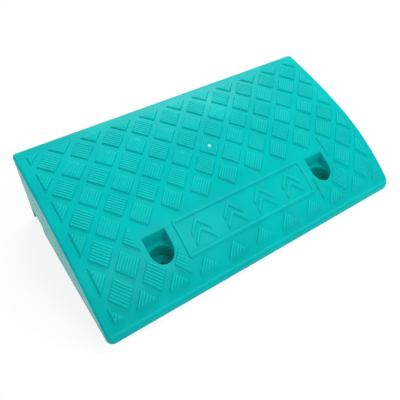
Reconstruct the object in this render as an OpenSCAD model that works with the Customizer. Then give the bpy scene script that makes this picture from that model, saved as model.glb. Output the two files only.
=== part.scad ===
// Plastic kerb ramp: a hollow wedge with a convex deck, raised tread blocks and two sunk fixing wells.
// Origin at the middle of the underside, +X along the kerb, +Y towards the kerb, +Z up, millimetres.

/* [Overall] */
// Length along the kerb
ramp_length = 490; // [420:1:700]
// Depth from the front lip to the kerb face
ramp_depth = 256; // [230:1:340]
// Height of the deck at the kerb
ramp_height = 115; // [100:1:140]
// Plan radius of the two front corners
front_corner_r = 9; // [4:0.5:12]
// Plan radius of the two kerb corners
back_corner_r = 6; // [2:0.5:12]

/* [Deck] */
// Height of the front lip
lip_height = 8.4; // [6:0.1:12]
// Depth of the solid bar under the lip
lip_bar = 12; // [12:0.5:20]
// Slope of the deck at the lip, in degrees
front_slope = 41.7; // [34:0.1:50]
// Slope of the deck at the kerb, in degrees
back_slope = 9.9; // [3:0.1:15]
// Thickness of the deck plate
deck_t = 4; // [3:0.1:5]

/* [Walls and ribs] */
// Thickness of the two side skirts
skirt_t = 4; // [3:0.1:8]
// Thickness of the wall against the kerb
back_wall_t = 4; // [3:0.1:6]
// Thickness of the ribs under the deck
rib_t = 3; // [2:0.1:5]
// Cross rib spaces from the middle of the ramp to a fixing well
ribs_to_well = 3; // [2:1:4]
// Cross ribs between a fixing well and the nearer skirt
ribs_past_well = 1; // [0:1:2]
// Number of ribs along the length
long_ribs = 4; // [2:1:5]

/* [Drain channel] */
// Length of the drain notch in a skirt
drain_length = 42; // [20:1:60]
// Height of the drain notch
drain_height = 20; // [8:1:28]
// Radius of the notch's two upper corners
drain_r = 6; // [2:0.5:8]
// Distance from the kerb face to the notch
drain_setback = 7; // [6:0.5:30]

/* [Tread] */
// Wanted spacing of the tread blocks
tread_pitch = 46; // [40:1:60]
// Plain border beside the tread field
tread_side = 14; // [11:0.5:20]
// Plain border between the lip and the tread field
tread_front = 11; // [9:0.5:14]
// Plain border between the tread field and the kerb
tread_back = 14; // [11:0.5:20]
// Side of a square tread block
block_side = 23; // [18:0.5:25]
// Height of a tread block above the deck
block_h = 1.6; // [1:0.1:3]
// Distance that border blocks stay inside the field
block_inset = 1.5; // [1:0.1:6]
// Least gap between a block and the panel or a well
block_gap = 1.5; // [0.5:0.1:3]
// Spacing of the fine ridges on a block
ridge_pitch = 3.5; // [2.4:0.1:5]
// Width of a ridge
ridge_w = 1.4; // [0.8:0.1:2]
// Height of a ridge above its block
ridge_h = 1.1; // [0.3:0.1:1.5]
// Plain margin round the ridges of a block
ridge_margin = 0.25; // [0.2:0.05:3]

/* [Sign panel] */
// Length of the raised frame
panel_length = 220; // [120:1:230]
// Depth of the raised frame in plan
panel_depth = 47; // [36:1:56]
// Plan distance from the lip to the frame
panel_setback = 32; // [26:1:40]
// Width of the frame's bead
bead_w = 4; // [2.5:0.1:6]
// Height of the bead and of the chevrons
bead_h = 1.5; // [0.8:0.1:2.5]
// Outer corner radius of the frame
panel_r = 3; // [1:0.5:6]
// Spacing of the double chevrons
chevron_pitch = 52; // [36:1:54]
// Width of a chevron
chevron_w = 30; // [20:1:34]
// Depth of one chevron stroke along the slope
chevron_stroke = 6; // [4:0.5:7]
// Gap between the two chevrons of a pair
chevron_gap = 5; // [3:0.5:6]
// Plain space between the chevrons and the long sides of the frame
chevron_side = 3.5; // [2:0.5:4]
// Least plain space between the chevrons and the ends of the frame
chevron_end = 10; // [5:1:16]

/* [Fixing wells] */
// Distance between the two bolt holes
well_spacing = 277; // [260:1:300]
// Width of a well
well_w = 33; // [28:1:36]
// Plan distance from the lip to the bolt hole
well_setback = 56; // [50:1:66]
// Length of a well behind its bolt hole
well_back = 20; // [14:1:24]
// Depth of a well's floor under the deck at its front end
well_front_depth = 0.6; // [0.4:0.1:6]
// Wall thickness of a well
well_wall = 3; // [2:0.1:4]
// Ledge between a well's wall and its bore
well_ledge = 0.5; // [0.3:0.1:3]
// Depth of the bore under the well's floor
bore_depth = 21; // [8:1:24]
// Thickness of the bolt seat at the bottom of the bore
seat_t = 5; // [3:0.5:8]
// Diameter of the bolt hole
bolt_hole_d = 9; // [7:0.5:16]

/* [Gate mark] */
// Diameter of the nub left by the mould's gate
gate_d = 5; // [3:0.5:8]
// Height of the nub above its block
gate_h = 1.2; // [0.5:0.1:2]
// Diameter of the plain patch round the nub
gate_patch_d = 11; // [9:0.5:14]

/* [Hidden] */
$fn = 96;
// Segments of the deck's large arcs
deck_fn = 1440;
body_colour = "#05bcb4";
// Overshoot of cutting solids
over = 5;
front_y = -ramp_depth / 2;
back_y = ramp_depth / 2;

// The deck's profile is two arcs that meet smoothly, from the lip to the kerb
lip_point = [0, lip_height];
kerb_point = [ramp_depth, ramp_height];
lip_dir = [cos(front_slope), sin(front_slope)];
kerb_dir = [cos(back_slope), sin(back_slope)];
rise = kerb_point - lip_point;
turn = 1 - lip_dir * kerb_dir;
along = rise * (lip_dir + kerb_dir);
leg = (sqrt(along * along + 2 * turn * (rise * rise)) - along) / (2 * turn);
knee = (lip_point + kerb_point + leg * (lip_dir - kerb_dir)) / 2;
lip_normal = [lip_dir.y, -lip_dir.x];
kerb_normal = [kerb_dir.y, -kerb_dir.x];
front_r = arc_radius(knee - lip_point, lip_normal);
back_r = arc_radius(knee - kerb_point, kerb_normal);
front_centre = lip_point + front_r * lip_normal;
back_centre = kerb_point + back_r * kerb_normal;
knee_out = (knee - front_centre) / front_r;
// The front arc stands this far proud of the back arc, so that the two cross cleanly
knee_lap = 0.02;
// Length that the front arc runs on under the back arc
knee_run = 60;

// Tread field
field_x = ramp_length - 2 * tread_side;
field_y = ramp_depth - tread_front - tread_back;
field_mid = (tread_front - tread_back) / 2;
columns = round(field_x / tread_pitch);
rows = round(field_y / tread_pitch);
pitch_x = field_x / columns;
pitch_y = field_y / rows;
tread_rows = 2 * rows + 1;
block_half = block_side / sqrt(2);
ridges = floor((block_side - 2 * ridge_margin - ridge_w) / ridge_pitch) + 1;
gate_row = 2 * ceil(rows / 2) + 1;
gate_y = row_y(gate_row);

// Panel and wells
panel_y = front_y + panel_setback + panel_depth / 2;
chevron_step = chevron_stroke + chevron_gap;
chevron_rise = panel_depth - 2 * (bead_w + chevron_side) - chevron_step - chevron_stroke;
chevron_run = panel_length - 2 * (bead_w + chevron_end) - chevron_w;
chevrons = floor(chevron_run / chevron_pitch) + 1;
well_x = well_spacing / 2;
well_y = front_y + well_setback;
well_r = well_w / 2;
floor_z = deck_z(well_setback - well_r) - well_front_depth;
bore_d = well_w - 2 * well_ledge;
tube_d = bore_d + 2 * well_wall;
seat_z = floor_z - bore_depth;

// Ribs
rib_pitch = well_x / ribs_to_well;
inner_x = ramp_length / 2 - skirt_t;
end_pitch = (inner_x - well_x) / (ribs_past_well + 1);
ribs_each_side = ribs_to_well + ribs_past_well;
cross_ribs = 2 * ribs_each_side + 1;
drain_front = back_y - drain_setback - drain_length;
long_pitch = (drain_front - rib_t / 2 - well_y) / (long_ribs - 1);

// The rows at the lip and at the kerb are cut by the border, so they have names of their own
function row_name(i) = i == 1
    ? "tread_lip_row"
    : i == tread_rows ? "tread_kerb_row" : str("tread_row_", i < 10 ? "0" : "", i);

// Radius of the arc that leaves along a tangent and ends at a chord's far end
function arc_radius(chord, normal) = chord * chord / (2 * (chord * normal));

// Height of the deck at a plan distance from the lip
function deck_z(u) = u < knee.x
    ? front_centre.y + sqrt(front_r * front_r - pow(u - front_centre.x, 2))
    : back_centre.y + sqrt(back_r * back_r - pow(u - back_centre.x, 2));

// Place of a cross rib: evenly from the middle to the wells, and evenly from there to the skirts
function rib_reach(k) = k <= ribs_to_well ? k * rib_pitch : well_x + (k - ribs_to_well) * end_pitch;
function rib_x(i) = sign(i - 1 - ribs_each_side) * rib_reach(abs(i - 1 - ribs_each_side));

// Rows of blocks count from the lip to the kerb
function row_y(i) = field_mid - field_y / 2 + (i - 1) * pitch_y / 2;

// Distance of a point from a rectangle, measured along X and then Y
function rect_reach(p, centre, size) =
    max(abs(p.x - centre.x) - size.x / 2, 0) + max(abs(p.y - centre.y) - size.y / 2, 0);

// A block that reaches the panel or a well keeps its outer half, or goes if that reaches them too
function meets_panel(p) =
    rect_reach(p, [0, panel_y], [panel_length, panel_depth]) < block_half + block_gap;
function meets_well(p) =
    rect_reach(p, [sign(p.x) * well_x, well_y + well_back / 2], [well_w, well_back]) < block_half + block_gap
    || abs(abs(p.x) - well_x) + abs(p.y - well_y) < block_half + sqrt(2) * (well_r + block_gap);
function well_inside(p) = abs(p.x) > well_x + well_r;
function panel_inside(p) = abs(p.x) > panel_length / 2;
function is_whole(p) = !meets_panel(p) && !meets_well(p);
function is_half(p) = (!meets_panel(p) || panel_inside(p)) && (!meets_well(p) || well_inside(p));

// Everything below the deck's surface, lowered by drop, as a side view
// from before the lip to behind the kerb face
module side_view(drop) {
    low = -4 * over;
    top = ramp_height + 2 * over;
    foot = knee - (knee.y - low) / knee_out.y * knee_out;
    head = knee + (top - knee.y) / knee_out.y * knee_out;
    intersection() {
        translate(front_centre) circle(r = front_r - drop + knee_lap, $fn = deck_fn);
        translate([-over, low]) square([knee.x + knee_run + over, top - low]);
    }
    intersection() {
        translate(back_centre) circle(r = back_r - drop, $fn = deck_fn);
        polygon([foot, [ramp_depth + over, low], [ramp_depth + over, top], head]);
    }
}

module below_deck(drop) {
    rotate([90, 0, 90])
        linear_extrude(height = ramp_length + 2 * over, center = true)
            translate([front_y, 0]) side_view(drop);
}

module plan_corner(x, y, r) {
    translate([x - sign(x) * r, y - sign(y) * r]) circle(r = r);
}

module plan_outline() {
    half = ramp_length / 2;
    translate([-half, front_y + front_corner_r])
        square([ramp_length, ramp_depth - front_corner_r - back_corner_r]);
    translate([-half + front_corner_r, front_y])
        square([ramp_length - 2 * front_corner_r, 2 * front_corner_r]);
    translate([-half + back_corner_r, back_y - 2 * back_corner_r])
        square([ramp_length - 2 * back_corner_r, 2 * back_corner_r]);
    for (side = [-1, 1]) {
        plan_corner(side * half, front_y, front_corner_r);
        plan_corner(side * half, back_y, back_corner_r);
    }
}

module outer_form() {
    intersection() {
        linear_extrude(height = ramp_height + over) plan_outline();
        below_deck(0);
    }
}

// A box in plan, from the ground to above the deck
module plan_box(x0, x1, y0, y1) {
    translate([x0, y0, 0]) cube([x1 - x0, y1 - y0, ramp_height + over]);
}

// Room for water and cables along the kerb
module drain_channel() {
    r = min(drain_r, drain_height / 2);
    rotate([90, 0, 90])
        linear_extrude(height = ramp_length + 2 * over, center = true)
            translate([drain_front, 0]) {
                translate([0, -over]) square([drain_length, drain_height - r + over]);
                translate([r, 0]) square([drain_length - 2 * r, drain_height]);
                for (u = [r, drain_length - r]) translate([u, drain_height - r]) circle(r = r);
            }
}

module well_outline(grow) {
    circle(r = well_r + grow);
    translate([-well_r - grow, 0]) square([well_w + 2 * grow, well_back + grow]);
}

module at_well(side, z) {
    translate([side * well_x, well_y, z]) children();
}

// The outside of a well, up through the deck
module well_block(side) {
    at_well(side, floor_z - well_wall)
        linear_extrude(height = ramp_height) well_outline(well_wall);
}

// The pocket over a well's floor, and the round bore that goes on down to the bolt seat
module well_cut(side) {
    at_well(side, floor_z)
        linear_extrude(height = ramp_height) well_outline(0);
    at_well(side, seat_z) cylinder(d = bore_d, h = ramp_height);
}

// Room that the ribs leave for a well and its bolt tube
module well_room(side) {
    well_block(side);
    at_well(side, 0) cylinder(d = tube_d, h = floor_z);
}

module fixing_well(side) {
    color(body_colour) difference() {
        intersection() {
            well_block(side);
            below_deck(deck_t);
        }
        well_cut(side);
    }
}

module left_fixing_well() { fixing_well(-1); }

module right_fixing_well() { fixing_well(1); }

// The tube that carries a well's bore down to the ground
module bolt_tube(side) {
    color(body_colour) difference() {
        intersection() {
            at_well(side, 0) cylinder(d = tube_d, h = floor_z - well_wall);
            below_deck(deck_t);
        }
        at_well(side, -over) cylinder(d = bore_d, h = ramp_height);
    }
}

module left_bolt_tube() { bolt_tube(-1); }

module right_bolt_tube() { bolt_tube(1); }

module bolt_seat(side) {
    color(body_colour) at_well(side, seat_z - seat_t) difference() {
        cylinder(d = bore_d, h = seat_t);
        translate([0, 0, -over]) cylinder(d = bolt_hole_d, h = seat_t + 2 * over);
    }
}

module left_bolt_seat() { bolt_seat(-1); }

module right_bolt_seat() { bolt_seat(1); }

module deck() {
    color(body_colour) difference() {
        outer_form();
        intersection() {
            below_deck(deck_t);
            translate([-ramp_length / 2 - over, front_y + lip_bar, -over])
                cube([ramp_length + 2 * over, ramp_depth, ramp_height + 2 * over]);
        }
        for (side = [-1, 1]) well_cut(side);
    }
}

module side_skirt(side) {
    x = side * (ramp_length - skirt_t) / 2;
    color(body_colour) difference() {
        intersection() {
            outer_form();
            below_deck(deck_t);
            plan_box(x - skirt_t / 2, x + skirt_t / 2, front_y + lip_bar, back_y - back_wall_t);
        }
        drain_channel();
    }
}

module left_skirt() { side_skirt(-1); }

module right_skirt() { side_skirt(1); }

module back_wall() {
    color(body_colour) intersection() {
        outer_form();
        below_deck(deck_t);
        plan_box(-ramp_length / 2, ramp_length / 2, back_y - back_wall_t, back_y);
    }
}

module cross_rib(i) {
    color(body_colour) difference() {
        intersection() {
            below_deck(deck_t);
            plan_box(rib_x(i) - rib_t / 2, rib_x(i) + rib_t / 2, front_y + lip_bar, back_y - back_wall_t);
        }
        drain_channel();
        for (side = [-1, 1]) well_room(side);
    }
}

module long_rib(i) {
    y = well_y + (i - 1) * long_pitch;
    color(body_colour) difference() {
        intersection() {
            below_deck(deck_t);
            for (k = [0:cross_ribs]) {
                x0 = k == 0 ? -inner_x : rib_x(k) + rib_t / 2;
                x1 = k == cross_ribs ? inner_x : rib_x(k + 1) - rib_t / 2;
                plan_box(x0, x1, y - rib_t / 2, y + rib_t / 2);
            }
        }
        for (side = [-1, 1]) well_room(side);
    }
}

// The part of the tread field that blocks may fill, less a margin
module field_limit(margin) {
    w = field_x - 2 * (block_inset + margin);
    d = field_y - 2 * (block_inset + margin);
    translate([0, field_mid]) square([w, d], center = true);
}

// Limit of one block: all of the field, or the outer side of a halved block
module block_limit(p, margin) {
    intersection() {
        field_limit(margin);
        if (!is_whole(p)) {
            edge = abs(p.x) + block_gap + margin;
            translate([p.x > 0 ? edge : -edge - field_x, -field_y]) square([field_x, 2 * field_y]);
        }
    }
}

module block_plan(p, margin) {
    side = block_side - 2 * margin;
    intersection() {
        translate(p) rotate(45) square(side, center = true);
        block_limit(p, margin * sqrt(2));
    }
}

module ridge_plan(p, angle) {
    intersection() {
        translate(p) rotate(angle)
            for (k = [0:ridges - 1])
                translate([0, (k - (ridges - 1) / 2) * ridge_pitch])
                    square([block_side, ridge_w], center = true);
        block_plan(p, ridge_margin);
    }
}

// Centres of the blocks in one row, on the even or the odd columns of the diagonal field
function row_points(i) = [
    for (k = [(i - 1) % 2:2:2 * columns])
        let (p = [(k - columns) * pitch_x / 2, row_y(i)])
        if (is_half(p)) p
];

module tread_row(i) {
    angle = i % 2 == 1 ? 45 : -45;
    color(body_colour) difference() {
        union() {
            intersection() {
                linear_extrude(height = ramp_height + 2 * over)
                    for (p = row_points(i)) block_plan(p, 0);
                below_deck(-block_h);
            }
            intersection() {
                linear_extrude(height = ramp_height + 2 * over)
                    difference() {
                        for (p = row_points(i)) ridge_plan(p, angle);
                        if (i == gate_row) translate([0, gate_y]) circle(d = gate_patch_d);
                    }
                below_deck(-block_h - ridge_h);
            }
        }
        below_deck(0);
    }
}

// A flat shape raised on the deck, from one height above it to another
module raised(low, high) {
    difference() {
        intersection() {
            linear_extrude(height = ramp_height + 2 * over) children();
            below_deck(-high);
        }
        below_deck(-low);
    }
}

module rounded_rect(w, d, r) {
    square([w - 2 * r, d], center = true);
    square([w, d - 2 * r], center = true);
    for (x = [-1, 1], y = [-1, 1]) translate([x * (w / 2 - r), y * (d / 2 - r)]) circle(r = r);
}

module sign_frame() {
    color(body_colour) raised(0, bead_h) translate([0, panel_y]) difference() {
        rounded_rect(panel_length, panel_depth, panel_r);
        square([panel_length - 2 * bead_w, panel_depth - 2 * bead_w], center = true);
    }
}

module chevron() {
    half = chevron_w / 2;
    low = -chevron_rise / 2;
    high = chevron_rise / 2;
    polygon([
        [-half, low], [0, high], [half, low],
        [half, low - chevron_stroke], [0, high - chevron_stroke], [-half, low - chevron_stroke]
    ]);
}

module sign_chevrons() {
    color(body_colour) raised(0, bead_h) translate([0, panel_y + chevron_stroke / 2])
        for (i = [0:chevrons - 1], k = [-1, 1])
            translate([(i - (chevrons - 1) / 2) * chevron_pitch, k * chevron_step / 2]) chevron();
}

module gate_mark() {
    color(body_colour) raised(block_h, block_h + gate_h) translate([0, gate_y]) circle(d = gate_d);
}

deck();
left_skirt();
right_skirt();
back_wall();
left_fixing_well();
right_fixing_well();
left_bolt_tube();
right_bolt_tube();
left_bolt_seat();
right_bolt_seat();
for (i = [1:cross_ribs]) cross_rib(i);
for (i = [1:long_ribs]) long_rib(i);
for (i = [1:tread_rows]) tread_row(i);
sign_frame();
sign_chevrons();
gate_mark();
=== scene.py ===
import math
import bmesh
import bpy
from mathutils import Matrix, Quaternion, Vector, kdtree
from mathutils.geometry import delaunay_2d_cdt


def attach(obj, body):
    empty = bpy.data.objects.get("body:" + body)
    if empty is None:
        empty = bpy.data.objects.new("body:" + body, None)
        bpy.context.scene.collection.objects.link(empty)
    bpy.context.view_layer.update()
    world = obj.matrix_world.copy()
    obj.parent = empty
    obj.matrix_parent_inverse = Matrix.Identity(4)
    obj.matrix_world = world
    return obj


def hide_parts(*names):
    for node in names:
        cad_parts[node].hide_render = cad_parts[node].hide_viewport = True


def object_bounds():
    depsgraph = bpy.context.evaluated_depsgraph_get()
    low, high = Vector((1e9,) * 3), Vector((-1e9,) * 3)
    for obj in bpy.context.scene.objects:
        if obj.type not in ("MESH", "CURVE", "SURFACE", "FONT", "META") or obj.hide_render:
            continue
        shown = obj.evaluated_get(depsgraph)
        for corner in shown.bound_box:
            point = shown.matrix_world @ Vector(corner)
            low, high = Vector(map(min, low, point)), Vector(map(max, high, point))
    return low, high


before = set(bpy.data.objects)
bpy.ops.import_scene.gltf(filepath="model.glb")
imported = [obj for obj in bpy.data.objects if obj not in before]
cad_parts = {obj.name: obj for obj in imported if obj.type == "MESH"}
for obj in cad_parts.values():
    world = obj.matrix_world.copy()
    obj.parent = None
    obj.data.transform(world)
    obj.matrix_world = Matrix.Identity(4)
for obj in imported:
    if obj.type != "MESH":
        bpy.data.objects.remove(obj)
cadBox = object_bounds()
scene = bpy.context.scene
mm = 0.001        # sizes below are in millimetres where no other unit is named
weldGap = 0.0005  # points closer than this are one
tiny = 1e-6       # slack in comparing places

# overall size straight from the CAD model's bounds: along the kerb, lip to kerb, ground to deck
rampLength, rampDepth, rampHeight = [(high - low) / mm for low, high in zip(*cadBox)]
halfLength = rampLength / 2
lipY = -rampDepth / 2
kerbY = rampDepth / 2

deckForm = {
    "lipHeight": 8.4,     # upright face of the front lip
    "frontSlope": 41.7,   # degrees, at the lip
    "backSlope": 9.9,     # degrees, at the kerb
    "plate": 4.0,         # thickness of the tread plate
    "lipBar": 12.0,       # solid bar behind the lip
    "frontCorner": 9.0,   # plan radius
    "backCorner": 6.0,
    "cornerTurns": 6,     # steps round a corner
    "edgeRound": 3.4,     # rolled edge at the lip and the sides
    "kerbRound": 2.2,     # and at the kerb
    "roundRun": 30.0,     # length over which the one becomes the other
    "edgeSteps": 5,
    "mouthRound": 0.9,    # edge of the well mouths
    "mouthSteps": 3,
    "highlightWidth": 1.6,    # painted highlight: a lighter line where the lip's edge begins to roll
    "highlightDepth": 0.3,    # it ends this far under the deck
    "paintedHighlightShare": 0.4,    # of the painted highlight's colour there
    "meshStep": 8.0,
}
plate = deckForm["plate"]
barY = lipY + deckForm["lipBar"]

# the deck's section is two arcs that meet smoothly
def deckArcs():
    lip = Vector((0, deckForm["lipHeight"]))
    kerb = Vector((rampDepth, rampHeight))
    lipAngle = math.radians(deckForm["frontSlope"])
    kerbAngle = math.radians(deckForm["backSlope"])
    lipWay = Vector((math.cos(lipAngle), math.sin(lipAngle)))
    kerbWay = Vector((math.cos(kerbAngle), math.sin(kerbAngle)))
    rise = kerb - lip
    turn = 1 - lipWay.dot(kerbWay)
    along = rise.dot(lipWay + kerbWay)
    leg = (math.sqrt(along * along + 2 * turn * rise.dot(rise)) - along) / (2 * turn)
    knee = (lip + kerb + leg * (lipWay - kerbWay)) / 2
    arcs = []
    for end, way in ((lip, lipWay), (kerb, kerbWay)):
        normal = Vector((way.y, -way.x))
        chord = knee - end
        radius = chord.dot(chord) / (2 * chord.dot(normal))
        arcs.append((end + radius * normal, radius))
    return knee, arcs

knee, (frontArc, backArc) = deckArcs()
kneeLean = (knee - frontArc[0]).x / frontArc[1]

# height over the ground of a face that runs at a lift above the deck
def deckHeight(y, lift=0.0):
    fromLip = y - lipY
    centre, radius = frontArc if fromLip < knee.x + lift * kneeLean else backArc
    return centre.y + math.sqrt((radius + lift) ** 2 - (fromLip - centre.x) ** 2)

def onDeck(x, y, lift):
    return (x, y, deckHeight(y, lift))

def onGround(x, y, lift):
    return (x, y, 0.0)

# how far a point stands over the deck
def liftOver(point):
    fromLip = point.y - lipY
    centre, radius = frontArc if fromLip < knee.x else backArc
    return math.hypot(fromLip - centre.x, point.z - centre.y) - radius

# shells: points in millimetres and faces, welded into one mesh at the end

def newShell():
    return {"points": [], "faces": []}

def addPoints(shell, points):
    first = len(shell["points"])
    shell["points"].extend(points)
    return list(range(first, first + len(points)))

def bridge(shell, ringA, ringB):
    count = len(ringA)
    for i in range(count):
        j = (i + 1) % count
        shell["faces"].append((ringA[i], ringA[j], ringB[j], ringB[i]))

# a stack of rings, joined one to the next
def loft(shell, rings, closed=False):
    indexed = [addPoints(shell, ring) for ring in rings]
    for low, high in zip(indexed, indexed[1:]):
        bridge(shell, low, high)
    if closed:
        bridge(shell, indexed[-1], indexed[0])

def isInside(point, loop):
    x, y = point[0], point[1]
    inside = False
    for (x0, y0, *_), (x1, y1, *_) in zip(loop, loop[1:] + loop[:1]):
        if (y0 > y) != (y1 > y) and x < x0 + (y - y0) / (y1 - y0) * (x1 - x0):
            inside = not inside
    return inside

edgeClear = 0.6  # share of a step that inner points keep from every edge point
flatGap = 1e-5   # points closer than this are one to the triangulation

# an even grid of points inside an outline and outside its holes
def innerPoints(outline, holes, edgePoints, step):
    near = kdtree.KDTree(len(edgePoints))
    for i, (a, b, lift) in enumerate(edgePoints):
        near.insert((a, b, 0), i)
    near.balance()
    lowA, highA = min(p[0] for p in outline), max(p[0] for p in outline)
    lowB, highB = min(p[1] for p in outline), max(p[1] for p in outline)
    stepsA, stepsB = math.ceil((highA - lowA) / step), math.ceil((highB - lowB) / step)
    spots = []
    for i in range(1, stepsA):
        for j in range(1, stepsB):
            spot = (lowA + i * (highA - lowA) / stepsA, lowB + j * (highB - lowB) / stepsB)
            if near.find((*spot, 0))[2] < edgeClear * step or not isInside(spot, outline):
                continue
            if not any(isInside(spot, hole) for hole in holes):
                spots.append((*spot, outline[0][2]))
    return spots

# fills a flat outline that may have holes, inner creases and a grid of inner points;
# each point is (a, b, lift), and place turns that into a point in space
def fill(shell, outline, place, holes=(), creases=(), step=None):
    loops = [outline] + list(holes) + list(creases)
    flat = [point for loop in loops for point in loop]
    edges = []
    first = 0
    for loop in loops:
        count = len(loop)
        edges += [(first + i, first + (i + 1) % count) for i in range(count)]
        first += count
    if step:
        flat += innerPoints(outline, holes, flat, step)
    result = delaunay_2d_cdt([Vector(p[:2]) for p in flat], edges, [], 1, flatGap)
    spots, triangles, origins = result[0], result[2], result[3]
    lifts = [flat[o[0]][2] if o else outline[0][2] for o in origins]
    index = addPoints(shell, [place(s.x, s.y, lift) for s, lift in zip(spots, lifts)])
    for triangle in triangles:
        centre = sum((spots[i] for i in triangle), Vector((0, 0))) / 3
        if not any(isInside(centre, hole) for hole in holes):
            shell["faces"].append(tuple(index[i] for i in triangle))

# flat outlines

# places along a straight run, ends included
def split(start, stop, count):
    return [start + (stop - start) * k / count for k in range(count + 1)]

def stops(start, stop, step):
    return split(start, stop, max(1, round(abs(stop - start) / step)))

# points round a centre, angles in degrees, ends included
def arc(x, y, radius, start, stop, steps):
    angles = [math.radians(angle) for angle in split(start, stop, steps)]
    return [(x + radius * math.cos(angle), y + radius * math.sin(angle)) for angle in angles]

# quarter round from an inset on the flat to a drop down the side
def quarterRound(radius, steps):
    turns = split(0.0, math.pi / 2, steps)
    return [(radius * (1 - math.sin(t)), radius * (1 - math.cos(t))) for t in turns]

def lifted(points, lift=0.0):
    return [(x, y, lift) for x, y in points]

# the ways into and out of a corner
def cornerWays(corners, i):
    count = len(corners)
    before, here, after = [Vector(corners[(i + k) % count]) for k in (-1, 0, 1)]
    return here, (here - before).normalized(), (after - here).normalized()

def insetOutline(corners, inset):
    moved = []
    for i in range(len(corners)):
        here, wayIn, wayOut = cornerWays(corners, i)
        normalIn, normalOut = Vector((-wayIn.y, wayIn.x)), Vector((-wayOut.y, wayOut.x))
        moved.append(here + (normalIn + normalOut) * inset / (1 + normalIn.dot(normalOut)))
    return moved

# rounds corners and splits the straight runs, always into as many points
def softOutline(corners, radius, turns, runs):
    rounds = []
    for i in range(len(corners)):
        here, wayIn, wayOut = cornerWays(corners, i)
        bend = wayIn.angle(wayOut)
        side = 1 if wayIn.x * wayOut.y - wayIn.y * wayOut.x > 0 else -1
        start = here - wayIn * radius * math.tan(bend / 2)
        centre = start + side * radius * Vector((-wayIn.y, wayIn.x))
        arm = start - centre
        turned = []
        for angle in split(0.0, side * bend, turns):
            turned.append(centre + Vector((arm.x * math.cos(angle) - arm.y * math.sin(angle),
                                           arm.x * math.sin(angle) + arm.y * math.cos(angle))))
        rounds.append(turned)
    points = []
    for here, after in zip(rounds, rounds[1:] + rounds[:1]):
        points += here
        points += [here[-1].lerp(after[0], k / runs) for k in range(1, runs)]
    return points

# the part of an outline that lies behind a line
def clipOutline(corners, normal, limit):
    kept = []
    for here, after in zip(corners, corners[1:] + corners[:1]):
        a, b = limit - here.dot(normal), limit - after.dot(normal)
        if a >= 0:
            kept.append(here)
        if a * b < 0:
            kept.append(here.lerp(after, a / (a - b)))
    return kept

# the material

def linear(hexColour):
    channels = [int(hexColour[i:i + 2], 16) / 255 for i in (1, 3, 5)]
    return [c / 12.92 if c <= 0.04045 else ((c + 0.055) / 1.055) ** 2.4 for c in channels] + [1.0]

def addNode(tree, kind, inputs=None, **settings):
    node = tree.nodes.new(kind)
    for key, value in settings.items():
        setattr(node, key, value)
    for key, value in (inputs or {}).items():
        if isinstance(value, bpy.types.NodeSocket):
            tree.links.new(value, node.inputs[key])
        else:
            node.inputs[key].default_value = value
    return node

def perMetre(sizeMm):
    return 1 / (sizeMm * mm)

moulding = {
    "pigment": "#00bdba",
    "pigmentDeep": "#00b2b0",
    "haze": "#30c9c2",
    "paintedLight": "#24d8d1",      # painted highlight on ridge tops, relief tops and the lip's rolled edge
    "tornTipHighlight": "#a4ebe4",       # whitened where the gate broke off, with a painted highlight there
    "paintedBoreShade": "#2a4a10",      # painted shade in the bores, darker and greener
    "cloudSize": 70.0,       # soft clouds in the pigment
    "cloudBand": (0.35, 0.65),
    "hazeSize": 45.0,        # pale flow marks left by the melt
    "hazeBand": (0.56, 0.8),
    "hazeShare": 0.15,
    "hazeScale": (1.0, 0.45, 0.45),  # draws the marks out from lip to kerb
    "grainSize": 1.6,        # spark-eroded mould grain, drawn coarse enough to show
    "grainDepth": 0.05,
    "grainStrength": 0.3,
    "sinkSize": 14.0,        # slow waves where the plastic shrank
    "sinkBand": (0.3, 0.7),  # from the smoothest skin to the roughest
    "sinkDepth": 0.35,
    "sinkStrength": 0.25,
    "roughness": (0.24, 0.32),
    "ior": 1.51,
    "gloss": 0.034,          # the satin skin scatters most of the clear reflection
}
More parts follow.
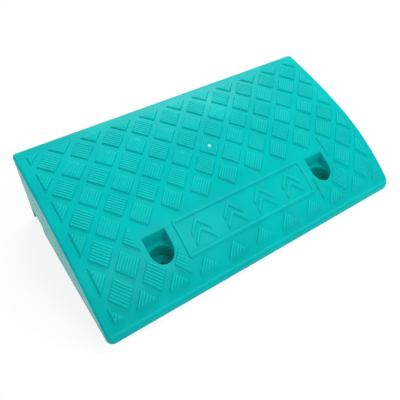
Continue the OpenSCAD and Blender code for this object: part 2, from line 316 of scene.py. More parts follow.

# moulded polyethylene: an even strong pigment under a satin skin, faintly clouded where the melt
# flowed, with a painted highlight on crests and rolled edges, with a fine grain from the mould that
# breaks up highlights
# torn polyethylene: the same, whitened at the tip where the gate broke off, with a painted highlight
# there
# the bore plastic: the same, darker and greener, painted shade in the bores and on the seats
# the painted light attribute of a mesh says how much of the second colour shows
def polyethylene(name, secondColour):
    material = bpy.data.materials.new(name)
    material.use_nodes = True
    tree = material.node_tree
    tree.nodes.clear()
    place = addNode(tree, "ShaderNodeTexCoord").outputs["Object"]
    clouds = addNode(tree, "ShaderNodeTexNoise", {
        "Vector": place, "Scale": perMetre(moulding["cloudSize"]), "Detail": 3.0, "Roughness": 0.5})
    low, high = moulding["cloudBand"]
    cloudBand = addNode(tree, "ShaderNodeMapRange", {
        "Value": clouds.outputs["Fac"], "From Min": low, "From Max": high})
    pigment = addNode(tree, "ShaderNodeMix", {
        "Factor": cloudBand.outputs["Result"],
        6: linear(moulding["pigmentDeep"]), 7: linear(moulding["pigment"])}, data_type="RGBA")
    flow = addNode(tree, "ShaderNodeMapping", {"Vector": place, "Scale": moulding["hazeScale"]})
    hazes = addNode(tree, "ShaderNodeTexNoise", {
        "Vector": flow.outputs["Vector"], "Scale": perMetre(moulding["hazeSize"]), "Detail": 4.0,
        "Roughness": 0.55})
    low, high = moulding["hazeBand"]
    hazeBand = addNode(tree, "ShaderNodeMapRange", {
        "Value": hazes.outputs["Fac"], "From Min": low, "From Max": high,
        "To Max": moulding["hazeShare"]})
    colour = addNode(tree, "ShaderNodeMix", {
        "Factor": hazeBand.outputs["Result"],
        6: pigment.outputs[2], 7: linear(moulding["haze"])}, data_type="RGBA")
    # share of painted light, highlight or shade by material, stored on the mesh
    paintedLight = addNode(tree, "ShaderNodeAttribute", attribute_name="paintedLight")
    colour = addNode(tree, "ShaderNodeMix", {
        "Factor": paintedLight.outputs["Fac"], 6: colour.outputs[2], 7: linear(secondColour)}, data_type="RGBA")
    grain = addNode(tree, "ShaderNodeTexNoise", {
        "Vector": place, "Scale": perMetre(moulding["grainSize"]), "Detail": 2.0})
    sink = addNode(tree, "ShaderNodeTexNoise", {
        "Vector": place, "Scale": perMetre(moulding["sinkSize"]), "Detail": 1.0})
    low, high = moulding["sinkBand"]
    smooth, rough = moulding["roughness"]
    skin = addNode(tree, "ShaderNodeMapRange", {
        "Value": sink.outputs["Fac"], "From Min": low, "From Max": high,
        "To Min": smooth, "To Max": rough})
    wave = addNode(tree, "ShaderNodeBump", {
        "Height": sink.outputs["Fac"], "Strength": moulding["sinkStrength"],
        "Distance": moulding["sinkDepth"] * mm})
    bump = addNode(tree, "ShaderNodeBump", {
        "Height": grain.outputs["Fac"], "Strength": moulding["grainStrength"],
        "Distance": moulding["grainDepth"] * mm, "Normal": wave.outputs["Normal"]})
    shader = addNode(tree, "ShaderNodeBsdfPrincipled", {
        "Base Color": colour.outputs[2], "Roughness": skin.outputs["Result"], "IOR": moulding["ior"],
        "Specular IOR Level": moulding["gloss"], "Normal": bump.outputs["Normal"]})
    addNode(tree, "ShaderNodeOutputMaterial", {"Surface": shader.outputs["BSDF"]})
    return material

plastic = polyethylene("moulded polyethylene", moulding["paintedLight"])
tornHighlitPlastic = polyethylene("torn polyethylene", moulding["tornTipHighlight"])
boreShadePlastic = polyethylene("shade-painted polyethylene", moulding["paintedBoreShade"])
print("materials ready")

# degrees from which an edge shows as a crease
creaseAngle = {"wall": 32.0, "tread": 50.0, "relief": 60.0}

# welds a shell into a closed mesh object that stands for its CAD nodes; its share function gives
# the painted light at a point: painted highlight on the plain and torn plastic, painted shade on the bore
# plastic
def makePiece(name, shell, nodes, crease=creaseAngle["wall"], paintedLightAt=None, material=plastic):
    mesh = bpy.data.meshes.new(name)
    mesh.from_pydata([Vector(p) * mm for p in shell["points"]], [], shell["faces"])
    work = bmesh.new()
    work.from_mesh(mesh)
    bmesh.ops.remove_doubles(work, verts=work.verts, dist=weldGap * mm)
    bmesh.ops.dissolve_degenerate(work, edges=work.edges, dist=weldGap * mm)
    bmesh.ops.recalc_face_normals(work, faces=work.faces)
    openEdges = sum(1 for edge in work.edges if len(edge.link_faces) != 2)
    work.to_mesh(mesh)
    work.free()
    mesh.polygons.foreach_set("use_smooth", [True] * len(mesh.polygons))
    mesh.set_sharp_from_angle(angle=math.radians(crease))
    if paintedLightAt:
        shares = mesh.attributes.new("paintedLight", "FLOAT", "POINT")
        shares.data.foreach_set("value", [paintedLightAt(vertex.co / mm) for vertex in mesh.vertices])
    mesh.materials.append(material)
    piece = bpy.data.objects.new(name, mesh)
    scene.collection.objects.link(piece)
    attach(piece, "root")
    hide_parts(*nodes)
    print(f"{name}: {len(mesh.polygons)} faces, {openEdges} open edges")
    return piece

# plan outline of the ramp, anticlockwise from the front left; every inset gives as many points
def rampOutline(inset):
    step = deckForm["meshStep"]
    frontR, backR = deckForm["frontCorner"], deckForm["backCorner"]
    frontX, backX = halfLength - frontR, halfLength - backR
    sideStops = [lipY + frontR] + stops(barY, kerbY - backR, step)
    points = [(x, lipY + inset) for x in stops(-frontX, frontX, step)]
    corners = (
        (frontX, lipY + frontR, frontR, -90, [(halfLength - inset, y) for y in sideStops]),
        (backX, kerbY - backR, backR, 0, [(x, kerbY - inset) for x in stops(backX, -backX, step)]),
        (-backX, kerbY - backR, backR, 90, [(-halfLength + inset, y) for y in sideStops[::-1]]),
        (-frontX, lipY + frontR, frontR, 180, []),
    )
    for x, y, radius, start, run in corners:
        points += arc(x, y, radius - inset, start, start + 90, deckForm["cornerTurns"])[1:-1]
        points += run
    return points

well = {
    "spacing": 277.0,     # bolt hole to bolt hole
    "width": 33.0,
    "setback": 56.0,      # lip to bolt hole
    "back": 20.0,         # straight part behind the bolt hole
    "frontDepth": 0.6,    # floor under the deck at the well's front end
    "wall": 3.0,
    "ledge": 0.5,         # between the wall and the bore
    "boreDepth": 21.0,
    "seat": 5.0,
    "boltHole": 9.0,
    "cornerRound": 1.2,
    "floorRound": 1.0,
    "rimRound": 0.5,
    "roundShare": 0.45,   # of the ledge's width that a round may take
    "chamfer": 0.6,
    "paintedBoreShade": 0.25,        # of the painted shade's colour in the bore and on the seat
    # steps round the front half, a corner, a fillet and the bore, and along a side and the back
    "frontSteps": 32,
    "cornerSteps": 4,
    "filletSteps": 4,
    "boreSteps": 96,
    "sideSteps": 4,
    "backSteps": 6,
}
wellX = well["spacing"] / 2
wellY = lipY + well["setback"]
wellRadius = well["width"] / 2
boreRadius = wellRadius - well["ledge"]
tubeRadius = boreRadius + well["wall"]
holeRadius = well["boltHole"] / 2
floorZ = deckHeight(wellY - wellRadius) - well["frontDepth"]
seatZ = floorZ - well["boreDepth"]

# outline of a well in plan, anticlockwise from its left shoulder
def wellOutline(side, grow):
    radius, back = wellRadius + grow, well["back"] + grow
    soft = well["cornerRound"]
    cornerX, cornerY = radius - soft, back - soft
    points = arc(0, 0, radius, 180, 360, well["frontSteps"])
    points += [(radius, b) for b in split(0, cornerY, well["sideSteps"])[1:]]
    points += arc(cornerX, cornerY, soft, 0, 90, well["cornerSteps"])[1:]
    points += [(a, back) for a in split(cornerX, -cornerX, well["backSteps"])[1:]]
    points += arc(-cornerX, cornerY, soft, 90, 180, well["cornerSteps"])[1:]
    points += [(-radius, b) for b in split(cornerY, 0, well["sideSteps"])[1:-1]]
    return [(side * wellX + a, wellY + b) for a, b in points]

# a circle round the bolt axis, with a point for each point of the well's outline
def boltCircle(side, radius):
    points = []
    for x, y in wellOutline(side, 0):
        angle = math.atan2(y - wellY, x - side * wellX)
        points.append((side * wellX + radius * math.cos(angle), wellY + radius * math.sin(angle)))
    return points

def edgeRadius(y):
    share = min((kerbY - y) / deckForm["roundRun"], 1.0)
    return deckForm["kerbRound"] + share * (deckForm["edgeRound"] - deckForm["kerbRound"])

# painted highlight along the lip's rolled edge
def lipPaintedHighlight(point):
    if liftOver(point) < -deckForm["highlightDepth"]:
        return 0.0
    away = abs(point.y - lipY - deckForm["edgeRound"]) / deckForm["highlightWidth"]
    return deckForm["paintedHighlightShare"] * max(0.0, 1 - away)

# top of the deck with its rolled edges and the edges of the well mouths; gives back the lowest rim
def addDeckTop(shell):
    outer = [Vector(p) for p in rampOutline(0)]
    inward = [Vector(p) - o for p, o in zip(rampOutline(1), outer)]
    radii = [edgeRadius(p.y) for p in outer]
    top = [p + way * (r + deckForm["highlightWidth"]) for p, way, r in zip(outer, inward, radii)]
    rims = [[onDeck(*p, 0) for p in top]]
    for inset, drop in quarterRound(1, deckForm["edgeSteps"]):
        spots = [p + way * r * inset for p, way, r in zip(outer, inward, radii)]
        rims.append([(*p, deckHeight(p.y) - r * drop) for p, r in zip(spots, radii)])
    loft(shell, rims)
    for side in (-1, 1):
        rings = []
        for grow, drop in quarterRound(deckForm["mouthRound"], deckForm["mouthSteps"]):
            rings.append([(x, y, deckHeight(y) - drop) for x, y in wellOutline(side, grow)])
        rings.append([onDeck(x, y, -plate) for x, y in wellOutline(side, 0)])
        loft(shell, rings)
    holes = [lifted(wellOutline(side, deckForm["mouthRound"])) for side in (-1, 1)]
    fill(shell, lifted(top), onDeck, holes=holes, step=deckForm["meshStep"])
    return rims[-1]

# upright sides: down to the plate's underside, or to the ground round the lip bar
def addDeckSides(shell, rim):
    outline = rampOutline(0)
    upper = addPoints(shell, rim)
    under = addPoints(shell, [onDeck(x, y, -plate) for x, y in outline])
    ground = addPoints(shell, [(x, y, 0.0) for x, y in outline])
    isBehind = [y >= barY - tiny for x, y in outline]
    count = len(outline)
    for i in range(count):
        j = (i + 1) % count
        if isBehind[i] and isBehind[j]:
            foot = (under[j], under[i])
        elif isBehind[j]:
            foot = (under[j], ground[j], ground[i])
        elif isBehind[i]:
            foot = (ground[j], ground[i], under[i])
        else:
            foot = (ground[j], ground[i])
        shell["faces"].append((upper[i], upper[j], *foot))

# underside of the plate, back of the lip bar and its foot
def addDeckUnderside(shell):
    outline = rampOutline(0)
    crossLine = stops(-halfLength, halfLength, deckForm["meshStep"])
    behind = [p for p in outline if p[1] > barY + tiny]
    ahead = [p for p in outline if p[1] < barY - tiny]
    cornerX = -halfLength + deckForm["frontCorner"] + tiny
    leftAhead = [p for p in ahead if p[0] < cornerX and p[1] > lipY + tiny]
    rest = [p for p in ahead if p not in leftAhead]
    plateLoop = [(x, barY) for x in crossLine] + behind
    footLoop = leftAhead + rest + [(x, barY) for x in crossLine[::-1]]
    holes = [lifted(wellOutline(side, 0), -plate) for side in (-1, 1)]
    fill(shell, lifted(plateLoop, -plate), onDeck, holes=holes, step=2 * deckForm["meshStep"])
    fill(shell, lifted(footLoop), onGround)
    high = addPoints(shell, [onDeck(x, barY, -plate) for x in crossLine])
    low = addPoints(shell, [(x, barY, 0.0) for x in crossLine])
    for i in range(len(crossLine) - 1):
        shell["faces"].append((high[i], high[i + 1], low[i + 1], low[i]))

def buildDeck():
    shell = newShell()
    rim = addDeckTop(shell)
    addDeckSides(shell, rim)
    addDeckUnderside(shell)
    return makePiece("deck_plate", shell, ["deck"], paintedLightAt=lipPaintedHighlight)

buildDeck()

# a well's floor, which dips under the plate where the deck comes down to it
def floorAt(y):
    return min(floorZ, deckHeight(y, -plate) - well["chamfer"])

def buildWell(side, name):
    wall, roundShare = well["wall"], well["roundShare"]
    outer = [Vector(p) for p in wellOutline(side, 0)]
    inward = [Vector(p) - o for p, o in zip(wellOutline(side, -1), outer)]
    circle = [Vector(p) for p in boltCircle(side, boreRadius)]
    floors = [floorAt(p.y) for p in outer]
    widths = [(p - c).length for p, c in zip(outer, circle)]
    outward = [(p - c) / w for p, c, w in zip(outer, circle, widths)]
    fillets = [min(well["floorRound"], roundShare * w) for w in widths]
    rims = [min(well["rimRound"], roundShare * w) for w in widths]
    turns = split(0.0, math.pi / 2, well["filletSteps"])
    rings = [[onDeck(*p, -plate) for p in outer]]
    for t in turns:
        spots = [p + way * f * (1 - math.cos(t)) for p, way, f in zip(outer, inward, fillets)]
        rings.append([(*p, z + f * (1 - math.sin(t))) for p, z, f in zip(spots, floors, fillets)])
    for t in turns:
        spots = [c + way * r * (1 - math.sin(t)) for c, way, r in zip(circle, outward, rims)]
        rings.append([(*p, z - r * (1 - math.cos(t))) for p, z, r in zip(spots, floors, rims)])
    rings.append([(*p, z - wall) for p, z in zip(circle, floors)])
    rings.append([(*p, z - wall) for p, z in zip(wellOutline(side, wall), floors)])
    rings.append([onDeck(x, y, -plate) for x, y in wellOutline(side, wall)])
    shell = newShell()
    loft(shell, rings, closed=True)
    return makePiece(name, shell, [name.replace("_pocket", "_fixing_well")])

# painted shade, even over the bore and the seat
def boreShadeAt(point):
    return well["paintedBoreShade"]

# a closed section of (radius, height) turned about the bolt axis; height None reaches up to the pocket
def buildTurned(side, name, node, section):
    steps = well["boreSteps"]
    tops = [floorAt(y) - well["wall"] for x, y in arc(0, wellY, wellRadius, 0, 360, steps)[:-1]]
    rings = []
    for radius, height in section:
        circle = arc(side * wellX, wellY, radius, 0, 360, steps)[:-1]
        heights = tops if height is None else [height] * len(circle)
        rings.append([(x, y, z) for (x, y), z in zip(circle, heights)])
    shell = newShell()
    loft(shell, rings, closed=True)
    return makePiece(name, shell, [node], paintedLightAt=boreShadeAt, material=boreShadePlastic)

seatLow = seatZ - well["seat"]
cut = well["chamfer"]
for side, hand in ((-1, "left"), (1, "right")):
    buildWell(side, f"{hand}_pocket")
    buildTurned(side, f"{hand}_tube", f"{hand}_bolt_tube", [
        (boreRadius, None), (boreRadius, cut), (boreRadius + cut, 0.0), (tubeRadius - cut, 0.0),
        (tubeRadius, cut), (tubeRadius, None)])
    buildTurned(side, f"{hand}_seat", f"{hand}_bolt_seat", [
        (boreRadius, seatZ), (holeRadius + cut, seatZ), (holeRadius, seatZ - cut),
        (holeRadius, seatLow + cut), (holeRadius + cut, seatLow), (boreRadius, seatLow)])
print("deck and wells ready")

walls = {
    "skirt": 4.0,         # thickness of the side walls
    "backWall": 4.0,
    "notchLength": 42.0,  # drain notch through the side walls
    "notchHeight": 20.0,
    "notchCorner": 6.0,
    "notchSetback": 7.0,  # kerb face to notch
    "notchTurns": 8,      # steps round a corner of the notch
    "footBreak": 0.6,     # broken edges at the ground and round the notch
    "meshStep": 12.0,
    "kerbStep": 1.0,      # finer steps round the kerb corners
}

# x of the ramp's side at a depth, round the kerb corners too
def sideX(y):
    over = max(0.0, y - (kerbY - deckForm["backCorner"]))
    return halfLength - deckForm["backCorner"] + math.sqrt(deckForm["backCorner"] ** 2 - over ** 2)

# side view of a skirt: free edges first, then the edges that meet the other walls
def skirtOutline(inset):
    wallY = kerbY - walls["backWall"]
    cornerY = kerbY - deckForm["backCorner"]
    notchBack = kerbY - walls["notchSetback"] + inset
    notchFront = kerbY - walls["notchSetback"] - walls["notchLength"] - inset
    soft = walls["notchCorner"] + inset
    softZ = walls["notchHeight"] + inset - soft
    points = [(y, inset) for y in stops(barY, notchFront, walls["meshStep"])]
    points += arc(notchFront + soft, softZ, soft, 180, 90, walls["notchTurns"])
    points += arc(notchBack - soft, softZ, soft, 90, 0, walls["notchTurns"])
    points += [(notchBack, inset), (wallY, inset)]
    topLine = stops(wallY, cornerY, walls["kerbStep"]) + stops(cornerY, barY, deckForm["meshStep"])[1:]
    return points + [(y, deckHeight(y, -plate)) for y in topLine]

def buildSkirt(side, name):
    shell = newShell()
    broken = walls["footBreak"]
    inner = halfLength - walls["skirt"]
    # inset of the side view and x at a depth, from the outer face to the inner one
    layers = (
        (broken, sideX),
        (0.0, lambda y: sideX(y) - broken),
        (0.0, lambda y: inner + broken),
        (broken, lambda y: inner),
    )
    loft(shell, [[(side * xOf(y), y, z) for y, z in skirtOutline(inset)] for inset, xOf in layers])
    for inset, xOf in (layers[0], layers[-1]):
        fill(shell, lifted(skirtOutline(inset)), lambda y, z, lift: (side * xOf(y), y, z),
             step=walls["meshStep"])
    return makePiece(name, shell, [name.replace("_side_wall", "_skirt")])

buildSkirt(-1, "left_side_wall")
buildSkirt(1, "right_side_wall")

def buildBackWall():
    inner = kerbY - walls["backWall"]
    edgeX = sideX(inner)
    outline = [(edgeX, inner)] + [p for p in rampOutline(0) if p[1] > inner + tiny]
    outline += [(x, inner) for x in stops(-edgeX, edgeX, walls["meshStep"])[:-1]]
    broken = walls["footBreak"]
    foot = lifted([tuple(p) for p in insetOutline(outline, broken)])
    shell = newShell()
    loft(shell, [
        foot,
        [(x, y, broken) for x, y in outline],
        [onDeck(x, y, -plate) for x, y in outline],
    ])
    fill(shell, foot, onGround)
    fill(shell, lifted(outline, -plate), onDeck)
    return makePiece("kerb_wall", shell, ["back_wall"])

buildBackWall()
print("walls ready")

panel = {
    "length": 220.0,
    "depth": 47.0,
    "setback": 32.0,      # lip to frame
    "corner": 3.0,        # outer radius of the frame
    "cornerTaper": 0.6,   # by which it shrinks with each millimetre of inset
    "cornerLeast": 0.5,
    "cornerTurns": 5,
    "edgeRuns": 28,
    "beadWidth": 4.0,
    "beadHeight": 1.5,
    "beadShape": 0.6,     # below 1 the round is fuller
    "beadSteps": 8,
    "beadToe": 0.25,      # height at the bead's two edges
    "footSpread": 0.5,    # soft foot beyond the bead
    "footDepth": 0.1,     # and under the deck's face
    "chevronCount": 4,
    "chevronPitch": 52.0,
    "chevronWidth": 30.0,
    "chevronRise": 15.0,
    "stroke": 6.0,
    "strokeGap": 5.0,
    "strokeRound": 0.8,
    "strokeTurns": 3,
    "strokeRuns": 4,
    # inset from a stroke's outline and height over the deck, from the foot to the top
    "strokeSection": [(-0.6, -0.1), (-0.2, 0.2), (0.0, 0.6), (0.3, 1.15), (0.6, 1.4), (1.0, 1.5)],
    "paintedHighlightShare": 0.1,    # of the painted highlight's colour on the top of the relief
}
panelY = lipY + panel["setback"] + panel["depth"] / 2

def panelOutline(inset):
    halfX, halfY = panel["length"] / 2 - inset, panel["depth"] / 2 - inset
    corners = [(a * halfX, panelY + b * halfY) for a, b in ((-1, -1), (1, -1), (1, 1), (-1, 1))]
    radius = max(panel["corner"] - panel["cornerTaper"] * inset, panel["cornerLeast"])
    return softOutline(corners, radius, panel["cornerTurns"], panel["edgeRuns"])

# painted highlight on the top of the relief
def reliefPaintedHighlight(point):
    return panel["paintedHighlightShare"] * min(max(2 * liftOver(point) / panel["beadHeight"] - 1, 0.0), 1.0)

def buildFrame():
    width, foot, steps = panel["beadWidth"], panel["footSpread"], panel["beadSteps"]
    rings = [lifted(panelOutline(-foot), -panel["footDepth"])]
    for k in range(steps + 1):
        angle = math.pi * k / steps
        rise = panel["beadToe"]
        if 0 < k < steps:
            rise = panel["beadHeight"] * math.sin(angle) ** panel["beadShape"]
        rings.append(lifted(panelOutline(width / 2 * (1 - math.cos(angle))), rise))
    rings.append(lifted(panelOutline(width + foot), -panel["footDepth"]))
    shell = newShell()
    loft(shell, [[onDeck(*p) for p in ring] for ring in rings], closed=True)
    return makePiece("panel_bead", shell, ["sign_frame"], creaseAngle["relief"], reliefPaintedHighlight)

def chevronCorners(x, y):
    half, rise, stroke = panel["chevronWidth"] / 2, panel["chevronRise"] / 2, panel["stroke"]
    upper = [(half, -rise), (0, rise), (-half, -rise)]
    lower = [(a, b - stroke) for a, b in upper[::-1]]
    return [(x + a, y + b) for a, b in lower + upper]

# rings of (x, y, lift) over the deck, stacked and closed at both ends
def addRelief(shell, rings):
    loft(shell, [[onDeck(*p) for p in ring] for ring in rings])
    fill(shell, rings[0], onDeck)
    fill(shell, rings[-1], onDeck)

def buildChevrons():
    shell = newShell()
    step = panel["stroke"] + panel["strokeGap"]
    for i in range(panel["chevronCount"]):
        x = (i - (panel["chevronCount"] - 1) / 2) * panel["chevronPitch"]
        for k in (-0.5, 0.5):
            corners = chevronCorners(x, panelY + panel["stroke"] / 2 + k * step)
            rings = []
            for inset, lift in panel["strokeSection"]:
                outline = softOutline(insetOutline(corners, inset), panel["strokeRound"],
                                      panel["strokeTurns"], panel["strokeRuns"])
                rings.append(lifted(outline, lift))
            addRelief(shell, rings)
    return makePiece("panel_chevrons", shell, ["sign_chevrons"], creaseAngle["relief"], reliefPaintedHighlight)

buildFrame()
buildChevrons()
print("panel ready")

tread = {
    "side": 14.0,         # plain borders round the field
    "front": 11.0,
    "back": 14.0,
    "pitch": 46.0,
    "block": 23.0,
    "inset": 1.5,         # border blocks stay this far inside the field
    "gap": 1.5,           # least gap to the panel or a well
    "cornerRound": 0.05,  # at the top of a block
    "cornerGrowth": 0.3,  # more of it for each millimetre further out
    "cornerTurns": 3,
    "edgeRuns": 5,
    # inset from the block's outline and height over the deck, from the foot to the top
    "section": [(-1.0, -0.1), (-0.7, 0.25), (-0.45, 0.8), (-0.25, 1.3), (-0.1, 1.52), (0.06, 1.6)],
    "ridgePitch": 3.5,
    "ridgeMargin": 0.1,
    "ridgeLeast": 2.4,    # a shorter ridge is left out
    "ridgeStep": 6.0,
    "ridgeTurn": 45.0,    # degrees, one way and the other from row to row
    # half width of a ridge and its height over the block
    "ridgeSection": [(0.88, 0.0), (0.68, 0.35), (0.4, 0.57), (0.16, 0.65)],
    "paintedHighlightShare": 0.46,   # of the painted highlight's colour on a ridge's top
    "gatePatch": 11.0,    # plain round patch for the gate mark
}
fieldX = rampLength - 2 * tread["side"]
fieldY = rampDepth - tread["front"] - tread["back"]
fieldMid = (tread["front"] - tread["back"]) / 2
columns = round(fieldX / tread["pitch"])
rows = round(fieldY / tread["pitch"])
pitchX, pitchY = fieldX / columns, fieldY / rows
treadRows = 2 * rows + 1
blockHalf = tread["block"] / math.sqrt(2)
blockTop = tread["section"][-1][1]
gateRow = 2 * math.ceil(rows / 2) + 1

def rowY(row):
    return fieldMid - fieldY / 2 + (row - 1) * pitchY / 2

def rowNode(row):
    return {1: "tread_lip_row", treadRows: "tread_kerb_row"}.get(row, f"tread_row_{row:02d}")

# how far a point lies outside a rectangle, along x and along y together
def rectReach(x, y, midX, midY, sizeX, sizeY):
    return max(abs(x - midX) - sizeX / 2, 0) + max(abs(y - midY) - sizeY / 2, 0)

# does a block that stands at x, y reach the panel or a well
def meetsPanel(x, y):
    return rectReach(x, y, 0, panelY, panel["length"], panel["depth"]) < blockHalf + tread["gap"]

def meetsWell(x, y):
    boxed = rectReach(abs(x), y, wellX, wellY + well["back"] / 2, well["width"], well["back"])
    rounded = abs(abs(x) - wellX) + abs(y - wellY) - math.sqrt(2) * (wellRadius + tread["gap"])
    return boxed < blockHalf + tread["gap"] or rounded < blockHalf

# a square on its corner, cut by the border and, beside the panel or a well, to its outer half
def blockOutline(x, y):
    panelCut, wellCut = meetsPanel(x, y), meetsWell(x, y)
    if panelCut and abs(x) <= panel["length"] / 2 or wellCut and abs(x) <= wellX + wellRadius:
        return []
    ways = [Vector(way) for way in ((1, 0), (0, 1), (-1, 0), (0, -1))]
    corners = [Vector((x, y)) + blockHalf * way for way in ways]
    for way in ways:
        limit = (fieldX / 2 if way.x else fieldY / 2 + way.y * fieldMid) - tread["inset"]
        corners = clipOutline(corners, way, limit)
    if panelCut or wellCut:
        hand = 1 if x > 0 else -1
        corners = clipOutline(corners, Vector((-hand, 0)), -abs(x) - tread["gap"])
    return corners

# where a line along the ridges enters and leaves an outline
def spanAt(outline, across):
    hits = []
    for (a0, b0), (a1, b1) in zip(outline, outline[1:] + outline[:1]):
        if (b0 > across) != (b1 > across):
            hits.append(a0 + (across - b0) / (b1 - b0) * (a1 - a0))
    return (min(hits), max(hits)) if len(hits) > 1 else None

# the stretches of a ridge inside an outline, broken by the gate's patch
def ridgeSpans(outline, across, patch):
    half = tread["ridgeSection"][0][0]
    spans = [spanAt(outline, across - half), spanAt(outline, across + half)]
    if None in spans:
        return []
    low, high = max(s[0] for s in spans), min(s[1] for s in spans)
    pieces = [(low, high)]
    if patch and abs(across) < patch:
        chord = math.sqrt(patch ** 2 - across ** 2)
        pieces = [(low, -chord), (chord, high)]
    return [(a, b) for a, b in pieces if b - a > tread["ridgeLeast"]]

# loops round the ridges of a block, each ridge from its foot to its top
def ridgeLoops(corners, x, y, ridgeTurn, patch):
    cosT, sinT = math.cos(ridgeTurn), math.sin(ridgeTurn)
    plain = insetOutline(corners, tread["ridgeMargin"])
    turned = [((p.x - x) * cosT + (p.y - y) * sinT, (p.y - y) * cosT - (p.x - x) * sinT) for p in plain]
    count = int((tread["block"] / 2 - tread["ridgeMargin"]) / tread["ridgePitch"])
    loops = []
    for k in range(-count, count + 1):
        across = k * tread["ridgePitch"]
        for low, high in ridgeSpans(turned, across, patch):
            for half, rise in tread["ridgeSection"]:
                inset = tread["ridgeSection"][0][0] - half
                run = stops(low + inset, high - inset, tread["ridgeStep"])
                loop = [(a, across - half) for a in run] + [(a, across + half) for a in run[::-1]]
                spots = [(x + a * cosT - b * sinT, y + a * sinT + b * cosT) for a, b in loop]
                loops.append(lifted(spots, blockTop + rise))
    return loops

def addBlock(shell, x, y, ridgeTurn, patch):
    corners = blockOutline(x, y)
    if not corners:
        return 0
    topInset = tread["section"][-1][0]
    rings = []
    for inset, lift in tread["section"]:
        soft = tread["cornerRound"] + tread["cornerGrowth"] * (topInset - inset)
        outline = softOutline(insetOutline(corners, inset), soft, tread["cornerTurns"], tread["edgeRuns"])
        rings.append(lifted(outline, lift))
    loft(shell, [[onDeck(*p) for p in ring] for ring in rings])
    fill(shell, rings[0], onDeck, step=deckForm["meshStep"])
    fill(shell, rings[-1], onDeck, creases=ridgeLoops(corners, x, y, ridgeTurn, patch))
    return 1

# painted highlight on a ridge's top, growing with height over the block
def ridgePaintedHighlight(point):
    rise = (liftOver(point) - blockTop) / tread["ridgeSection"][-1][1]
    return tread["paintedHighlightShare"] * min(max(rise, 0.0), 1.0)

for row in range(1, treadRows + 1):
    shell = newShell()
    blocks = 0
    ridgeTurn = math.radians(tread["ridgeTurn"] if row % 2 else -tread["ridgeTurn"])
    for k in range((row - 1) % 2, 2 * columns + 1, 2):
        column = k - columns
        patch = tread["gatePatch"] / 2 if row == gateRow and column == 0 else 0.0
        blocks += addBlock(shell, column * pitchX / 2, rowY(row), ridgeTurn, patch)
    name = rowNode(row).replace("tread", "ridged")
    makePiece(name, shell, [rowNode(row)], creaseAngle["tread"], ridgePaintedHighlight)
    print(f"row {row}: {blocks} blocks")
print("tread ready")

gate = {
    # radius and height over the block's top, from the foot to the middle
    "section": [(3.1, -0.1), (2.6, 0.12), (2.35, 0.5), (2.2, 0.9),
                (1.8, 1.15), (1.2, 1.2), (0.8, 1.05), (0.4, 0.9)],
    "tip": 0.8,           # height over the block from which the tip is fully whitened and carries its painted highlight
    "turns": 24,
}

# whitened torn tip with a painted highlight, growing with height over the block
def tipWhiteningAndHighlight(point):
    return min(max((liftOver(point) - blockTop) / gate["tip"], 0.0), 1.0)

def buildGate():
    rings = []
    for radius, rise in gate["section"]:
        circle = arc(0, rowY(gateRow), radius, 0, 360, gate["turns"])[:-1]
        rings.append(lifted(circle, blockTop + rise))
    shell = newShell()
    addRelief(shell, rings)
    return makePiece("gate_nub", shell, ["gate_mark"], creaseAngle["relief"], tipWhiteningAndHighlight, tornHighlitPlastic)

buildGate()

# ribs under the deck keep their CAD shape
for name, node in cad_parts.items():
    if "_rib_" in name:
        node.data.materials.clear()
        node.data.materials.append(plastic)
print("gate and ribs ready")

studio = {
    "floorSize": 8.0,       # metres
    "floorDrop": 0.2,       # under the ramp's feet
    "underMargin": 5.0,     # the sheet under the ramp ends this far inside it
    "floor": "#fbfbfb",
    "floorRoughness": 0.9,
    "paperWhite": 0.85,     # share of the shadow that the bright paper drowns
    "skyLight": 0.53,       # soft light from all round
    # width, height and place in metres, power in watts
    "softboxes": {
        "front softbox": (0.4, 0.4, (0.14, -0.46, 0.8), 2.8),
        "back softbox": (1.2, 0.15, (0.68, 1.1, 1.5), 22.0),
    },
}
white = (1, 1, 1, 1)

# 1 where the eye, a reflection or a view through something meets the surface
def seenDirectly(tree):
    path = addNode(tree, "ShaderNodeLightPath").outputs
    seen = addNode(tree, "ShaderNodeMath", {
        0: path["Is Camera Ray"], 1: path["Is Glossy Ray"]}, operation="MAXIMUM")
    seen = addNode(tree, "ShaderNodeMath", {
        0: seen.outputs[0], 1: path["Is Transmission Ray"]}, operation="MAXIMUM")
    return seen.outputs[0]

# matt paper sweep: bright white paper that still takes a faint shadow
def sweepPaper():
    paper = bpy.data.materials.new("matt paper sweep")
    paper.use_nodes = True
    tree = paper.node_tree
    tree.nodes.clear()
    sheet = addNode(tree, "ShaderNodeBsdfDiffuse", {"Color": linear(studio["floor"])})
    glow = addNode(tree, "ShaderNodeEmission", {"Color": white})
    share = addNode(tree, "ShaderNodeMath", {
        0: seenDirectly(tree), 1: studio["paperWhite"]}, operation="MULTIPLY")
    mixed = addNode(tree, "ShaderNodeMixShader", {
        0: share.outputs[0], 1: sheet.outputs["BSDF"], 2: glow.outputs["Emission"]})
    addNode(tree, "ShaderNodeOutputMaterial", {"Surface": mixed.outputs["Shader"]})
    return paper

# matt paper under the ramp: the same paper without the brightness, dark where no light comes
def shadedPaper():
    paper = bpy.data.materials.new("matt paper under the ramp")
    paper.use_nodes = True
    sockets = paper.node_tree.nodes["Principled BSDF"].inputs
    sockets["Base Color"].default_value = linear(studio["floor"])
    sockets["Roughness"].default_value = studio["floorRoughness"]
    return paper

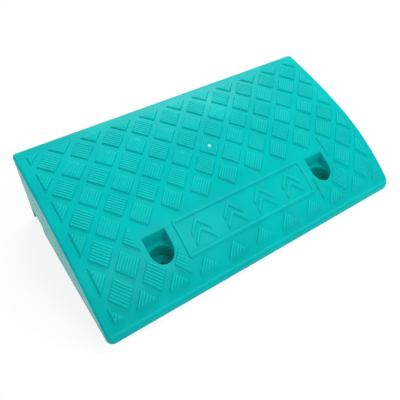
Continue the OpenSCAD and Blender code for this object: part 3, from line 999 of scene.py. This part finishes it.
# a bright sheet round the ramp and a plain one under it
def buildFloor():
    size = studio["floorSize"] / 2
    underX, underY = (halfLength - studio["underMargin"]) * mm, (kerbY - studio["underMargin"]) * mm
    corners = [(x * a, y * b, 0) for x, y in ((size, size), (underX, underY))
               for a, b in ((-1, -1), (1, -1), (1, 1), (-1, 1))]
    sides = [(i, (i + 1) % 4, (i + 1) % 4 + 4, i + 4) for i in range(4)]
    mesh = bpy.data.meshes.new("floor")
    mesh.from_pydata(corners, [], sides + [(4, 5, 6, 7)])
    mesh.materials.append(sweepPaper())
    mesh.materials.append(shadedPaper())
    mesh.polygons[-1].material_index = 1
    floor = bpy.data.objects.new("floor", mesh)
    floor.location.z = -studio["floorDrop"] * mm
    scene.collection.objects.link(floor)

def buildLight():
    world = bpy.data.worlds.new("studio")
    scene.world = world
    world.use_nodes = True
    tree = world.node_tree
    tree.nodes.clear()
    strength = addNode(tree, "ShaderNodeMapRange", {
        "Value": seenDirectly(tree), "To Min": studio["skyLight"], "To Max": 1.0})
    back = addNode(tree, "ShaderNodeBackground", {"Color": white, "Strength": strength.outputs["Result"]})
    addNode(tree, "ShaderNodeOutputWorld", {"Surface": back.outputs["Background"]})
    for name, (width, height, place, power) in studio["softboxes"].items():
        light = bpy.data.lights.new(name, "AREA")
        light.shape = "RECTANGLE"
        light.size = width
        light.size_y = height
        light.energy = power
        lamp = bpy.data.objects.new(name, light)
        lamp.location = place
        lamp.rotation_euler = (-lamp.location).to_track_quat("-Z", "Y").to_euler()
        scene.collection.objects.link(lamp)

buildFloor()
buildLight()

view = {
    "place": (-301.4, -394.2, 497.0),
    "aim": (-49.4, -27.6, 50.0),
    "roll": 0.41,        # degrees
    "lens": 40.83,
    "sensor": 36.0,      # width of the picture behind the lens
    "nearest": 10.0,
}

def buildCamera():
    lens = bpy.data.cameras.new("camera")
    lens.lens = view["lens"]
    lens.sensor_width = view["sensor"]
    lens.clip_start = view["nearest"] * mm
    camera = bpy.data.objects.new("camera", lens)
    place, aim = Vector(view["place"]) * mm, Vector(view["aim"]) * mm
    roll = Quaternion((0, 0, 1), math.radians(view["roll"]))
    camera.location = place
    camera.rotation_mode = "QUATERNION"
    camera.rotation_quaternion = (aim - place).to_track_quat("-Z", "Y") @ roll
    scene.collection.objects.link(camera)
    scene.camera = camera

buildCamera()
scene.view_settings.view_transform = "Standard"

print("scene ready")
